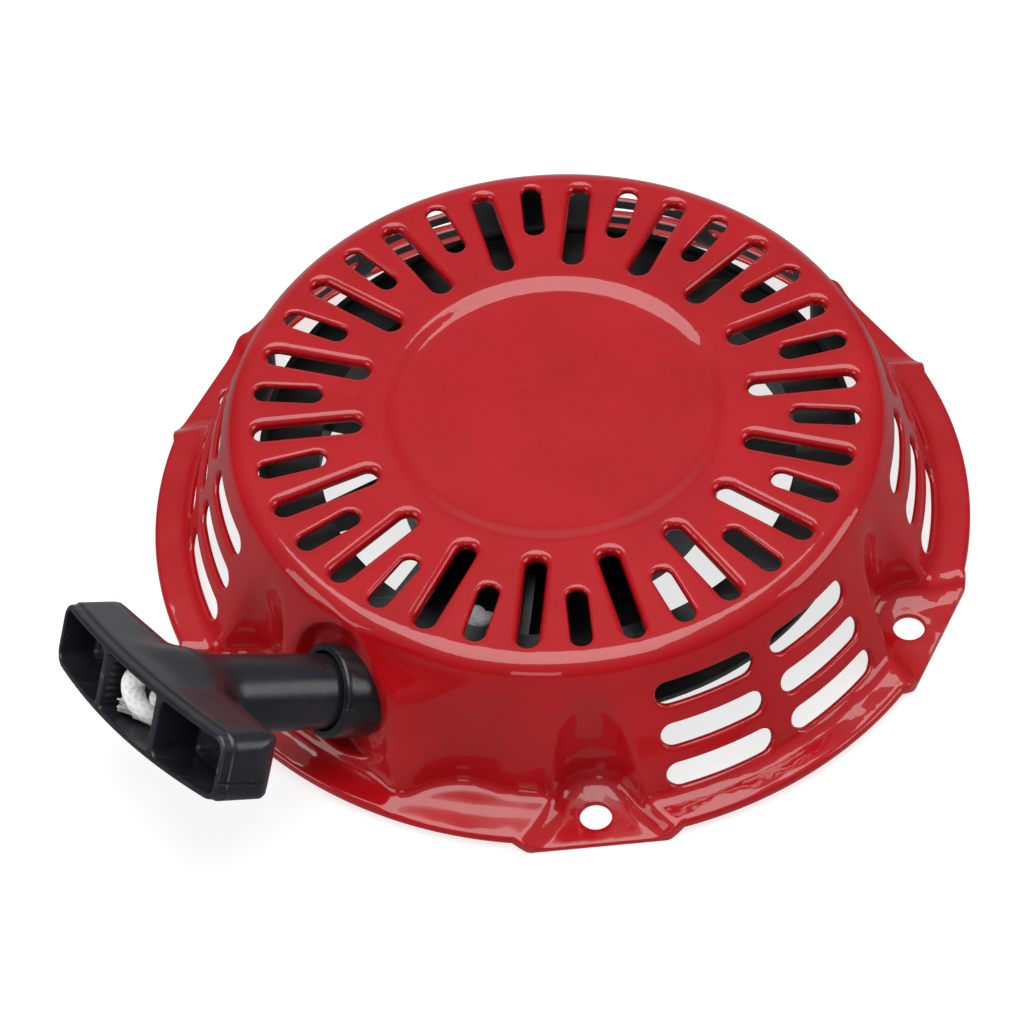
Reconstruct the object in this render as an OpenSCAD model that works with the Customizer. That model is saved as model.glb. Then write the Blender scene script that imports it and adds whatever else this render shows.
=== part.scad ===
// Recoil starter for a small engine: a pressed housing with a sprung rope reel inside,
// two ratchets that grip the engine's starter cup, and a T grip on the rope.
// The origin is the centre of the bolt circle on the mounting plane, +Z towards the housing's top.

/* [Housing] */
// Height from the mounting plane to the top face
housing_h = 47; // [44:0.5:52]
// Thickness of the pressed sheet
sheet = 1.6; // [1.2:0.1:2]
// Diameter of the flange
flange_d = 228; // [226:1:234]
// Height of the flange's upper face above the mounting plane
flange_top = 5.4; // [4.5:0.1:6]
// Radius of the side wall at mid height
wall_r = 98.5; // [98:0.1:99]
// Slope of the side wall, in millimetres out per millimetre down
wall_slope = 0.405; // [0.38:0.005:0.42]
// Radius of the rounded shoulder at the top
shoulder_r = 6; // [4:0.5:7]
// Depth of the dished centre
dish_depth = 1.3; // [0.8:0.1:2]

/* [Mounting] */
// Diameter of the bolt circle
bolt_circle_d = 209; // [208:0.5:210]
// Diameter of each bolt hole
bolt_hole_d = 8.6; // [6.5:0.1:9]
// Number of mounting tabs
tab_count = 6; // [6]
// Radius of the tool clearance pressed in above each tab
socket_r = 11.7; // [11:0.1:12.5]

/* [Vents] */
// Width of the slots in the top
top_slot_w = 5.6; // [5:0.1:6]
// Depth of the turned lip round each long top slot
lip_depth = 3; // [2.6:0.1:3.2]
// Width of the slots in the side wall
side_slot_w = 7; // [6:0.1:7.4]

/* [Reel] */
// Radius of the reel's flanges
reel_r = 82.2; // [81:0.1:82.6]
// Number of ribs between hub and rim
rib_count = 11; // [9:1:13]
// Radius of the post that the reel turns on
post_r = 9; // [8:0.1:9]

/* [Rope and grip] */
// Diameter of the rope
rope_d = 4.5; // [4:0.1:4.5]
// Length of the grip's bar
bar_len = 90; // [86:1:94]
// Thickness of the grip's bar
bar_t = 20.4; // [20:0.1:21]
// Radius of the grip's stem
stem_r = 10; // [9.5:0.1:10]

/* [Hidden] */

$fn = 72;
gap = 0.3;

// Housing levels and radii
flange_r = flange_d / 2;
wall_z = 22;
wall_tilt = atan(wall_slope);
base_fillet = 4;
rim_bend = 1.5;
rim_drop = 2.6;
dish_r = 43;
dish_edge_r = 48.8;
tab_pitch = 360 / tab_count;
tab_first = 30;
tab_reach = 113.6;
tab_half = 18.5;
bolt_circle_r = bolt_circle_d / 2;

// Vents: the top has short and long slots in turn, the wall five groups of two by three
short_slot = [73.2, 18.8];
long_slot = [67.5, 29.5];
slot_pitch = 20;
side_groups = [-60, 0, 60, 120, 180];
side_rows = [33.9, 22, 10.7];
side_offset = 10.45;
side_half = 8.7;

// Rope outlet: where the guide's axis meets the wall, and which way it points
outlet = [-60.5, -72.8, 23.9];
outlet_heading = 200;
outlet_rise = 28.5;
pad_r = 15.5;
pad_step = 0.6;
front_heading = -104;
front_sink = 0.3;
chamfer_at = [-50.4, -76.4, 39.2];
chamfer_heading = -113.8;
chamfer_rise = 51;
guide_hole_r = 9;
collar_len = 10;
collar_r = 12.7;

// Reel levels
deck_z = 13.8;
rim_low = 15;
rim_high = 29.4;
lip_high = 31;
groove_low = 17;
groove_high = 27.4;
groove_r = 69;
hub_r = 44;
pocket_r = 42;
hub_top = 41;
pocket_floor = 28;
hub_tube_r = 13;
hub_tube_low = 10.4;
run_clearance = 0.05;
rib_first = -4.5;
anchor_turn = rib_first - 3.4 * 360 / rib_count;
rib_w = 2.4;

// Ratchets
ratchet_low = 7.2;
ratchet_high = 12.7;
pivot_r = 24;
pin_r = 3;
peg = [-6, -2.5];
peg_r = 1.3;
ratchet_swing = 30;
guide_swing = 25;
guide_low = 5.2;
guide_high = 6.7;

// Grip, along the outlet's axis
stem_start = 7.8;
bar_start = 46.5;
bar_end = bar_start + 21.5;
bar_drop = 1;
bow_r = 300;
pocket_depth = 14;
pocket_wall = 2.1;
divider = [13.7, 15.3];
grip_twist = 112;

// Rope from the reel's groove through the guide, by hand
rope_route = [[-11, -80, 22.3], [-25, -78, 22.3], [-39, -76, 22.3], [-50, -74.2, 22.3], [-56.5, -73, 22.6],
              [-60.8, -73.2, 24.1], [-66.1, -74.8, 27.1]];

function wall_at(z) = wall_r + (wall_z - z) * wall_slope;
function arc(c, r, a0, a1, n) = [for (i = [0:n]) let (a = a0 + (a1 - a0) * i / n) c + r * [cos(a), sin(a)]];

// The wall's line moved in by g, where it meets a level z
function wall_in(z, g) = wall_at(z) - g / cos(wall_tilt);

// Outline of the pressed sheet at depth g below its outer face, from the axis out to the rim
function sheet_outline(g) =
    let (turn = 90 - wall_tilt,
         corner = wall_at(housing_h),
         shoulder = [corner - shoulder_r * tan(turn / 2), housing_h - shoulder_r],
         foot = [wall_at(flange_top) + base_fillet * tan(turn / 2), flange_top + base_fillet])
    concat([[0, housing_h - dish_depth - g], [dish_r, housing_h - dish_depth - g], [dish_edge_r, housing_h - g]],
           arc(shoulder, shoulder_r - g, 90, wall_tilt, 6),
           arc(foot, base_fillet + g, 180 + wall_tilt, 270, 5));

module capsule(len, w) {
    square([len - w, w], center = true);
    for (s = [-1, 1]) translate([s * (len - w) / 2, 0]) circle(d = w);
}

module rounded_rect(w, h, r) {
    square([w - 2 * r, h], center = true);
    square([w, h - 2 * r], center = true);
    for (x = [-1, 1], y = [-1, 1]) translate([x * (w / 2 - r), y * (h / 2 - r)]) circle(r = r);
}

module round_tabs() {
    for (i = [0:tab_count - 1]) rotate(tab_first + i * tab_pitch) children();
}

// Places children on the outlet's axis, with z out along the rope
module on_outlet() {
    translate(outlet) rotate([0, 90 - outlet_rise, outlet_heading]) children();
}

// Places children at each end of the ratchet pair
module at_ratchet(side) {
    rotate(side * 180) translate([pivot_r, 0, 0]) children();
}

// Room for the bolt head and its tool above a tab, grown by g
module socket_space(g) {
    translate([bolt_circle_r, 0, sheet - g]) cylinder(r = socket_r + g, h = housing_h);
    translate([0, 0, sheet - g]) linear_extrude(housing_h)
        polygon([[bolt_circle_r - 5, -10 - g], [tab_reach + 4, -tab_half - g - 1],
                 [tab_reach + 4, tab_half + g + 1], [bolt_circle_r - 5, 10 + g]]);
}

// The hollow pressed in beside the outlet, grown by g
module side_hollow(g) {
    rotate(-107.5) translate([125, 0, flange_top - g]) cylinder(r = 28.3 + g, h = housing_h);
}

// Everything behind a plane through a point, whose normal has that heading and rise, moved in by g
module behind(point, heading, rise, g) {
    translate(point) rotate([0, 90 - rise, heading]) translate([-150, -150, -300 - g]) cube(300);
}

// The swelling that carries the outlet pad: a flat front nearly tangent to the wall, a chamfer
// above it and the pad itself, all moved in by g
module outlet_body(g) {
    front = [wall_at(wall_z) - front_sink, 0, wall_z];
    intersection() {
        rotate(front_heading) behind(front, 0, wall_tilt, g);
        behind(chamfer_at, chamfer_heading, chamfer_rise, g);
        behind(outlet, outlet_heading, outlet_rise, g - pad_step);
        rotate(front_heading) translate([62 + g, -60, flange_top - 1 - g]) cube([60, 60 - g, 39]);
    }
}

// The space in front of the flat outlet pad, grown by g
module pad_space(g) {
    on_outlet() translate([0, 0, -g]) cylinder(r = pad_r + g, h = 40);
}

module outer_form() {
    rotate_extrude(convexity = 4) polygon(concat(sheet_outline(0),
        arc([flange_r - rim_bend, flange_top - rim_bend], rim_bend, 90, 0, 3),
        [[flange_r, rim_drop], [flange_r - sheet, rim_drop], [flange_r - sheet, 0], [0, 0]]));
    outlet_body(0);
}

module inner_form() {
    rotate_extrude(convexity = 4) polygon(concat(sheet_outline(sheet),
        [[flange_r - sheet, flange_top - sheet], [flange_r - sheet, -1], [0, -1]]));
    outlet_body(sheet);
}

module tab_plates() {
    round_tabs() linear_extrude(sheet)
        polygon([[bolt_circle_r - 8, -socket_r - sheet + 2], [bolt_circle_r, -15], [tab_reach, -tab_half - sheet],
                 [tab_reach, tab_half + sheet], [bolt_circle_r, 15], [bolt_circle_r - 8, socket_r + sheet - 2]]);
}

module top_slots() {
    for (i = [0:17]) rotate(-90 + i * slot_pitch) {
        translate([short_slot[0], 0, housing_h - 6]) linear_extrude(8) capsule(short_slot[1], top_slot_w);
        rotate(slot_pitch / 2) translate([long_slot[0], 0, housing_h - 6]) linear_extrude(8)
            capsule(long_slot[1], top_slot_w);
    }
}

module slot_lips() {
    for (i = [0:17]) rotate(-80 + i * slot_pitch) translate([long_slot[0], 0, housing_h - lip_depth])
        linear_extrude(lip_depth - sheet / 2) capsule(long_slot[1] + 2.2, top_slot_w + 2.2);
}

module side_slots() {
    for (a = side_groups, z = side_rows, s = [-1, 1])
        rotate(a + s * side_offset) translate([wall_at(z), 0, z]) rotate([0, 90 - wall_tilt, 0])
            translate([0, 0, -6]) linear_extrude(12) rotate(90)
                capsule(2 * wall_at(z) * sin(side_half), side_slot_w);
}

module housing() {
    color("crimson") difference() {
        union() {
            difference() {
                outer_form();
                round_tabs() socket_space(0);
                side_hollow(0);
                pad_space(0);
                difference() {
                    inner_form();
                    round_tabs() socket_space(sheet);
                    side_hollow(sheet);
                    pad_space(sheet);
                }
            }
            tab_plates();
            slot_lips();
        }
        top_slots();
        side_slots();
        round_tabs() translate([bolt_circle_r, 0, -1]) cylinder(d = bolt_hole_d, h = 6);
        on_outlet() translate([0, 0, -12]) cylinder(r = guide_hole_r, h = 30);
    }
}

// Post welded under the dished centre, threaded for the centre screw
module centre_post() {
    top = housing_h - dish_depth - sheet;
    color("silver") difference() {
        union() {
            translate([0, 0, top - 2]) cylinder(r = 16, h = 2);
            translate([0, 0, 10.1]) cylinder(r = post_r, h = top - 2 - 10.1);
        }
        translate([0, 0, 9]) cylinder(r = 3.4, h = 22);
        // Notch for the spring's inner hook
        translate([post_r - 2, -0.6, 29]) cube([4, 1.2, 10.6]);
    }
}

// Bushing with a round-lipped collar that the rope runs out through
module rope_guide() {
    color([0.13, 0.13, 0.15]) on_outlet() rotate_extrude() polygon(concat(
        [[4.2, -1], [7, -6], [guide_hole_r, -6], [guide_hole_r, 0]],
        [[collar_r - 0.8, 0], [collar_r, 0.8]],
        arc([collar_r - 2, collar_len - 2], 2, 0, 90, 4),
        [[stem_r + 0.4, collar_len], [stem_r + 0.4, stem_start - gap], [5.5, stem_start - gap], [4.2, 4]]));
}

// Ring that holds the guide from inside
module guide_retainer() {
    color([0.35, 0.35, 0.37]) on_outlet() difference() {
        translate([0, 0, -sheet - 2]) cylinder(r = 11.8, h = 2);
        translate([0, 0, -5]) cylinder(r = guide_hole_r, h = 6);
    }
}

module hub_washer() {
    color("silver") difference() {
        translate([0, 0, 8.9]) cylinder(r = 14, h = 1.2);
        translate([0, 0, 8]) cylinder(r = 4.2, h = 3);
    }
}

module centre_screw() {
    color("silver") {
        translate([0, 0, 0.4]) cylinder(r = 6, h = 2.6, $fn = 6);
        translate([0, 0, 3]) cylinder(r = 8.5, h = 0.9);
        translate([0, 0, 3.9]) cylinder(r = 4, h = 6.2);
        translate([0, 0, 10.1]) cylinder(r = 3.4, h = 16);
    }
}

module ring_wire(r, wire_r, z) {
    translate([0, 0, z]) rotate_extrude() translate([r, 0]) circle(r = wire_r, $fn = 24);
}

module friction_spring() {
    color("silver") ring_wire(6.4, 0.5, 4.4);
}

// Flat strip wound between the post and the reel's pocket wall
module recoil_spring() {
    turns = 8;
    steps = 24 * turns;
    r0 = post_r + 2.2;
    r1 = pocket_r - 1;
    strip = 0.6;
    mid = [for (i = [0:steps]) let (a = 360 * turns * i / steps, r = r0 + (r1 - r0) * i / steps) [r, a]];
    outline = concat([for (p = mid) (p[0] + strip / 2) * [cos(p[1]), sin(p[1])]],
                     [for (i = [steps:-1:0]) (mid[i][0] - strip / 2) * [cos(mid[i][1]), sin(mid[i][1])]]);
    color([0.3, 0.32, 0.36]) translate([0, 0, 29]) linear_extrude(10.6) {
        polygon(outline);
        // Inner hook in the post's notch and outer hook in the reel's slot
        translate([post_r - 1.6, -0.3]) square([3.9, 0.6]);
        translate([r1 - 0.3, -0.5]) square([3, 1]);
    }
}

// Round tube of radius r along a list of points
module swept_tube(path, r, sides) {
    last = len(path) - 1;
    function unit(v) = v / norm(v);
    function heading(i) = unit(path[min(i + 1, last)] - path[max(i - 1, 0)]);
    function side_of(i) = unit(cross(heading(i), [0, 0, 1]));
    function ring(i) = [for (k = [0:sides - 1]) let (a = 360 * k / sides)
        path[i] + r * (cos(a) * side_of(i) + sin(a) * cross(side_of(i), heading(i)))];
    points = [for (i = [0:last]) each ring(i)];
    walls = [for (i = [0:last - 1], k = [0:sides - 1]) let (n = (k + 1) % sides)
        [i * sides + k, i * sides + n, (i + 1) * sides + n, (i + 1) * sides + k]];
    polyhedron(points, concat(walls, [[for (k = [sides - 1:-1:0]) k], [for (k = [0:sides - 1]) last * sides + k]]));
}

module rope_lead() {
    color("white") swept_tube(rope_route, rope_d / 2, 10);
}

module reel_body() {
    rotate_extrude(convexity = 6) {
        // Hub with the spring's pocket above
        polygon([[post_r + run_clearance, hub_tube_low], [hub_tube_r, hub_tube_low], [hub_tube_r, deck_z],
                 [hub_r, deck_z], [hub_r, hub_top], [pocket_r, hub_top], [pocket_r, pocket_floor],
                 [hub_tube_r - 2, pocket_floor], [hub_tube_r - 2, 28.6], [post_r + run_clearance, 28.6]]);
        // Rim with the rope's groove and a raised outer edge
        polygon([[67, rim_low], [reel_r, rim_low], [reel_r, groove_low], [groove_r, groove_low],
                 [groove_r, groove_high], [reel_r, groove_high], [reel_r, lip_high], [reel_r - 2, lip_high],
                 [reel_r - 2, rim_high], [65.5, rim_high]]);
    }
    for (i = [0:rib_count - 1]) rotate(rib_first + i * 360 / rib_count)
        rotate([90, 0, 0]) translate([0, 0, -rib_w / 2]) linear_extrude(rib_w)
            polygon([[hub_r - 1, 18], [67.5, 18], [67.5, 28.4], [hub_r - 1, 36]]);
    // Closed web that carries the rope's anchor
    rotate([0, 0, rib_first - 4 * 360 / rib_count])
        rotate_extrude(angle = 2 * 360 / rib_count) translate([hub_r - 1, 16.5]) square([24, 2.5]);
}

module reel() {
    color([0.12, 0.12, 0.13]) difference() {
        reel_body();
        // Cored underside between twelve stiffening ribs
        difference() {
            rotate_extrude() translate([33, deck_z - 1]) square([8.5, 9]);
            for (i = [0:11]) rotate(15 + i * 30) translate([30, -1, deck_z - 2]) cube([14, 2, 12]);
        }
        for (s = [0, 1]) at_ratchet(s) translate([0, 0, deck_z - 1]) cylinder(r = pin_r, h = 9.2);
        // Slot for the spring's outer hook
        translate([pocket_r - 2, -0.8, 28.8]) cube([4.6, 1.6, 13]);
        // Hole that the rope's end comes through
        rotate(anchor_turn) translate([57, 0, 22.2]) rotate([0, 90, 0]) cylinder(r = rope_d / 2 + 0.2, h = 16);
    }
}

module spring_cover() {
    color("silver") difference() {
        translate([0, 0, hub_top]) cylinder(r = hub_r - 0.3, h = 0.8);
        translate([0, 0, hub_top - 1]) cylinder(r = post_r + 2, h = 3);
    }
}

// Two layers of rope wound in the groove
module rope_coil() {
    color("white") translate([0, 0, 22.2 - 4.6]) difference() {
        cylinder(r = groove_r + 2 * rope_d, h = 9.2);
        translate([0, 0, -1]) cylinder(r = groove_r, h = 12);
    }
}

module reel_knot() {
    color("white") rotate(anchor_turn) translate([59, 0, 23.6]) sphere(r = 4.6, $fn = 48);
}

module ratchet_pin(side) {
    color("silver") at_ratchet(side) translate([0, 0, 7]) cylinder(r = pin_r, h = 15);
}

module ratchet_spring(side) {
    color("silver") at_ratchet(side) {
        ring_wire(4.6, 0.4, 13.25);
        translate([4.2, -0.4, 12.9]) cube([9, 0.8, 0.8]);
    }
}

// One pawl: a lobe with the drive peg, a round boss on its pivot and an arm with a hooked tip
module ratchet(side) {
    tip = [3, -24];
    color([0.6, 0.6, 0.58]) at_ratchet(side) difference() {
        union() {
            translate([0, 0, ratchet_low]) linear_extrude(ratchet_high - ratchet_low) {
                circle(r = 6);
                translate(peg) circle(r = 2.6);
                polygon([[-5.5, 2], [-7.8, -0.6], [-7.4, -4.6], [-3, -6], [-1.5, -21], tip + [-1, -1],
                         tip + [3.4, 0.5], tip + [4.6, 3.4], [6.4, -15], [5.8, -4], [6, 0], [0, 5.5]]);
            }
            translate([peg[0], peg[1], guide_low + 0.2]) cylinder(r = peg_r, h = ratchet_low - guide_low);
        }
        translate([0, 0, ratchet_low - 1]) cylinder(r = pin_r + run_clearance, h = 8);
    }
}

// Place of a peg in the guide's own frame when the pair has opened by the share t
function peg_at(t) =
    let (swing = ratchet_swing * t,
         x = pivot_r + peg[0] * cos(swing) - peg[1] * sin(swing),
         y = peg[0] * sin(swing) + peg[1] * cos(swing),
         back = -guide_swing * t)
    [x * cos(back) - y * sin(back), x * sin(back) + y * cos(back)];

// Friction disc whose curved slots push the pegs, and so the ratchets, outwards
module ratchet_guide() {
    steps = 12;
    color([0.16, 0.16, 0.17]) difference() {
        union() {
            translate([0, 0, guide_low]) cylinder(r = 24.5, h = guide_high - guide_low);
            translate([0, 0, guide_low]) cylinder(r = 11, h = 8.6 - guide_low);
        }
        translate([0, 0, guide_low - 1]) cylinder(r = 4.05, h = 6);
        for (s = [0, 1], i = [0:steps]) rotate(s * 180) translate(concat(peg_at(i / steps), [guide_low - 1]))
            cylinder(r = peg_r + 0.4, h = 4);
    }
}

// Places children on the grip: x along the bar, z out along the rope
module on_grip() {
    on_outlet() rotate(grip_twist) children();
}

// The bar, set a little to one side of the stem, with its outer face bowed back towards the ends
module grip_bar() {
    intersection() {
        translate([0, bar_t / 2 - bar_drop, (bar_start + bar_end) / 2]) rotate([90, 0, 0]) linear_extrude(bar_t) {
            rounded_rect(bar_len, bar_end - bar_start, 6);
            translate([0, 3]) rounded_rect(bar_len, bar_end - bar_start - 6, 0.8);
        }
        translate([0, -bar_drop, bar_start]) linear_extrude(bar_end - bar_start) rounded_rect(bar_len, bar_t, 5);
        translate([0, 0, bar_end - bow_r]) rotate([90, 0, 0]) cylinder(r = bow_r, h = 60, center = true);
    }
}

// Compartment open on the grip's outer face, between x0 and x1 along the bar
module grip_pocket(x0, x1, corner) {
    translate([(x0 + x1) / 2, -bar_drop, bar_end - pocket_depth]) linear_extrude(pocket_depth + 1)
        rounded_rect(x1 - x0, bar_t - 2 * pocket_wall, corner);
}

module handle() {
    last = bar_len / 2 - pocket_wall;
    color([0.13, 0.13, 0.15]) on_grip() difference() {
        union() {
            translate([0, 0, stem_start]) cylinder(r1 = stem_r - 0.2, r2 = stem_r, h = bar_start - stem_start + 2);
            translate([0, 0, bar_start - 6]) cylinder(r1 = stem_r, r2 = stem_r + 3, h = 7);
            grip_bar();
        }
        // Three compartments open on the outer face, with a thin wall between each
        grip_pocket(-divider[0], divider[0], 1.5);
        grip_pocket(divider[1], last, 2.5);
        grip_pocket(-last, -divider[1], 2.5);
        cylinder(r = rope_d / 2 + 0.4, h = bar_end);
    }
}

module handle_washer() {
    color("silver") on_grip() translate([0, 0, bar_end - pocket_depth]) difference() {
        cylinder(r = 5.6, h = 0.9);
        translate([0, 0, -1]) cylinder(r = rope_d / 2 + 0.4, h = 3);
    }
}

module rope_tail() {
    color("white") on_grip() translate([0, 0, stem_start]) cylinder(r = rope_d / 2, h = bar_end - pocket_depth + 0.1 - stem_start);
}

module rope_knot() {
    color("white") on_grip() translate([0, 0, bar_end - pocket_depth + 4.9]) rotate_extrude()
        polygon(concat(arc([0, 0], 4.8, -90, 60, 10), [[rope_d / 2, 4.8], [rope_d / 2, 7.4], [0, 7.4]]));
}

housing();
centre_post();
rope_guide();
guide_retainer();
hub_washer();
centre_screw();
friction_spring();
recoil_spring();
rope_lead();
reel();
spring_cover();
rope_coil();
reel_knot();
ratchet_pin(0);  // ratchet_pin_a
ratchet_pin(1);  // ratchet_pin_b
ratchet_spring(0);  // ratchet_spring_a
ratchet_spring(1);  // ratchet_spring_b
ratchet_guide();
ratchet(0);  // ratchet_a
ratchet(1);  // ratchet_b
handle();
handle_washer();
rope_tail();
rope_knot();
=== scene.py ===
"""Recoil starter: the looks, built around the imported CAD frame. Lengths are in millimetres
until a mesh is written, in metres."""
import math
import bpy
import numpy as np
from mathutils import Matrix, Vector
from mathutils.geometry import delaunay_2d_cdt


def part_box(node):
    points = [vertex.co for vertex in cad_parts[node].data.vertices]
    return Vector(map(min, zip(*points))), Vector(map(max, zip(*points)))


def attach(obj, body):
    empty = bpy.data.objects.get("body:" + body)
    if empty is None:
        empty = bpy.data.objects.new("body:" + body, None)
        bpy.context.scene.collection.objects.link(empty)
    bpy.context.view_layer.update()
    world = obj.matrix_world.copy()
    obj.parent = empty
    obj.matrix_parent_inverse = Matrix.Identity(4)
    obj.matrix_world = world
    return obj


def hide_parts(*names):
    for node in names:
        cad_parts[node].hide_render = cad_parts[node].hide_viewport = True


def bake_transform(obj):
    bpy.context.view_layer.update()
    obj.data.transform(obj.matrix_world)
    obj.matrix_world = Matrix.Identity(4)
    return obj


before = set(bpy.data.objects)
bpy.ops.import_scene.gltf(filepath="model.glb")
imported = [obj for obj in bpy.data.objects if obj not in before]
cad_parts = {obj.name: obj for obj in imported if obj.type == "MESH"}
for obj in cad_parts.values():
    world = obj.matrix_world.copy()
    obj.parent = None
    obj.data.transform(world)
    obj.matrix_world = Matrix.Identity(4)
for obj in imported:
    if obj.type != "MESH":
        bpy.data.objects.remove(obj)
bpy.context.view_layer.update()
MM = 0.001
rng = np.random.default_rng(7)

# ---------------------------------------------------------------- driving dimensions
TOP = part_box("housing")[1][2] / MM
SHEET = 1.6
FLANGE_TOP = 5.4
FLANGE_R = 114.0
WALL_R, WALL_Z, WALL_SLOPE = 98.5, 22.0, 0.405
TILT = math.atan(WALL_SLOPE)
SHOULDER_R = 6.0
FILLET_R = 4.0
DISH_R, DISH_EDGE_R, DISH_DEPTH = 42.3, 47.6, 1.3
UNDER_LIP = 1.2
BOLT_R = 104.5
HOLE_R, HOLE_EDGE = 4.3, 0.45
TAB_REACH, TAB_HALF, TAB_STEP = 113.6, 18.5, 23.0
TAB_TOP = 1.6
TABS = [math.radians(30 + 60 * i) for i in range(6)]
SOCKET_R = 11.7
RIM_DROP = 2.6
OUTLET = np.array([-60.5, -72.8, 23.9])
HEADING, RISE = math.radians(200), math.radians(28.5)
PULL = np.array([math.cos(RISE) * math.cos(HEADING), math.cos(RISE) * math.sin(HEADING), math.sin(RISE)])
SLOT_W = 5.6
SHORT_SLOT = (73.2, 18.8)
LONG_SLOT = (67.5, 29.5)
SIDE_W = 7.2
SIDE_ROWS = (33.9, 22.0, 10.7)
SIDE_GROUPS = (-60, 0, 60, 120, 180)
SIDE_OFFSET, SIDE_HALF = math.radians(10.45), math.radians(8.7)


def wall_at(z):
    return WALL_R + (WALL_Z - z) * WALL_SLOPE


# ---------------------------------------------------------------- the pressed sheet as a field
def smin(a, b, k):
    """Smooth lower envelope: joins two solids with a fillet about k wide."""
    h = np.maximum(k - np.abs(a - b), 0.0) / k
    return np.minimum(a, b) - h * h * k * 0.25


def smax(a, b, k):
    return -smin(-a, -b, k)


def smooth_step(t):
    t = np.clip(t, 0.0, 1.0)
    return t * t * (3 - 2 * t)


def polar(r, a):
    """Points in the plane from distances and angles."""
    return np.stack([r * np.cos(a), r * np.sin(a)], 1)


def around(r, a, z):
    """Points round the housing's axis from distances, angles and heights."""
    return np.column_stack([polar(r, a), z])


def turned(flat, a):
    """Flat points turned about the origin."""
    c, s = math.cos(a), math.sin(a)
    return np.stack([flat[:, 0] * c - flat[:, 1] * s, flat[:, 0] * s + flat[:, 1] * c], 1)


def ahead(p, heading):
    """How far points lie out from the axis towards a heading."""
    return p[:, 0] * math.cos(heading) + p[:, 1] * math.sin(heading)


def pressed_profile(r, z):
    """Signed distance to the turned profile: dished top, round shoulder, sloping wall, flange."""
    cos_t, sin_t = math.cos(TILT), math.sin(TILT)
    top = z - TOP + DISH_DEPTH * smooth_step((DISH_EDGE_R - r) / (DISH_EDGE_R - DISH_R))
    wall = (r - wall_at(z)) * cos_t
    zc = TOP - SHOULDER_R
    qr, qz = r - (wall_at(zc) - SHOULDER_R / cos_t), z - zc
    rounded = (qr > 0) & (qz * cos_t > qr * sin_t)
    dome = np.where(rounded, np.hypot(qr, qz) - SHOULDER_R, np.maximum(top, wall))
    zf = FLANGE_TOP + FILLET_R
    qr, qz = r - (wall_at(zf) + FILLET_R / cos_t), z - zf
    foot = (qr < 0) & (-qz + qr * sin_t / cos_t > 0)
    return np.where(foot, FILLET_R - np.hypot(qr, qz), np.minimum(dome, z - FLANGE_TOP))


FACET_HEADING = math.radians(210)
FACET_LEAN = 0.2
FACET_DISTANCE = ahead(OUTLET[None], FACET_HEADING)[0]
FRONT_HEADING = math.radians(-104.5)
CHAMFER_AT = np.array([-50.4, -76.4, 39.2])
CHAMFER_NORMAL = np.array([-0.254, -0.577, 0.777])
SWELLING_FROM = 62.0
PAD_R = 17.5
POCKET_FLARE, POCKET_FLARE_FROM = 0.8, 96.0
DENT = ((math.radians(-107.5), 125.0, 28.3), (math.radians(-99), 117.0, 18.6))
DENT_LEAN = 0.18


def facet(p):
    """Distance out from the flat pad that carries the rope guide."""
    out = ahead(p, FACET_HEADING) - FACET_DISTANCE
    return (out - (OUTLET[2] - p[:, 2]) * FACET_LEAN) / math.hypot(1, FACET_LEAN)


def outlet_body(p):
    """The swelling behind the pad: a flat face that leaves the wall as a tangent, cut by the pad
    and a chamfer."""
    front = (ahead(p, FRONT_HEADING) - wall_at(p[:, 2])) * math.cos(TILT)
    chamfer = (p - CHAMFER_AT) @ CHAMFER_NORMAL
    past_tangent = ahead(p, FRONT_HEADING + math.pi / 2)
    inside = SWELLING_FROM - ahead(p, FRONT_HEADING)
    body = smax(smax(facet(p), front, 2.2), chamfer, 1.6)
    return smax(np.maximum.reduce([body, inside, p[:, 2] - (TOP - 3.0)]), past_tangent, 8.0)


def pad_space(p):
    """The room cut in front of the pad, round the rope's axis."""
    q = p - OUTLET
    along = q @ PULL
    from_axis = np.sqrt(np.maximum((q * q).sum(1) - along ** 2, 0.0))
    return -smin(PAD_R - from_axis, facet(p), 3.0)


def tab_pocket(p, a):
    """The tool clearance pressed in above one tab: a round well that flares towards the rim."""
    x = ahead(p, a)
    y = np.abs(ahead(p, a + math.pi / 2))
    well = np.hypot(x - BOLT_R, y) - SOCKET_R
    flare = np.maximum((y - 7.0 - POCKET_FLARE * (x - POCKET_FLARE_FROM)) * 0.78, 95.5 - x)
    plan = smin(well, np.maximum(flare, y - 20.2), 1.5)
    plan = plan - 0.035 * (p[:, 2] - 12.0)
    return -smin(-plan, p[:, 2] - TAB_TOP, 7.0)


def hollow(p, heading, distance, radius):
    """Plan of one upright hollow, which narrows as it goes up."""
    x, y = distance * math.cos(heading), distance * math.sin(heading)
    return np.hypot(p[:, 0] - x, p[:, 1] - y) - radius - DENT_LEAN * (p[:, 2] - 16.0)


def dent(p):
    """The hollow between the outlet and the front tab, down to the flange."""
    plan = smin(hollow(p, *DENT[0]), hollow(p, *DENT[1]), 4.0)
    return -smin(-plan, p[:, 2] - FLANGE_TOP, 3.0)


def pressed(p):
    """Signed distance to the housing's outer face, below it negative."""
    r = np.hypot(p[:, 0], p[:, 1])
    d = smin(pressed_profile(r, p[:, 2]), outlet_body(p), 3.0)
    d = smax(d, -pad_space(p), 2.0)
    d = smax(d, -dent(p), 2.2)
    for a in TABS:
        near = np.cos(np.arctan2(p[:, 1], p[:, 0]) - a) > 0.95
        d[near] = smax(d[near], -tab_pocket(p[near], a), 1.8)
    return d


def field_normals(p, field=pressed, step=0.05):
    """Unit normals of a field at points."""
    g = np.empty_like(p)
    for k in range(3):
        e = np.zeros(3)
        e[k] = step
        g[:, k] = field(p + e) - field(p - e)
    return g / np.maximum(np.linalg.norm(g, axis=1), 1e-9)[:, None]


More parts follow.
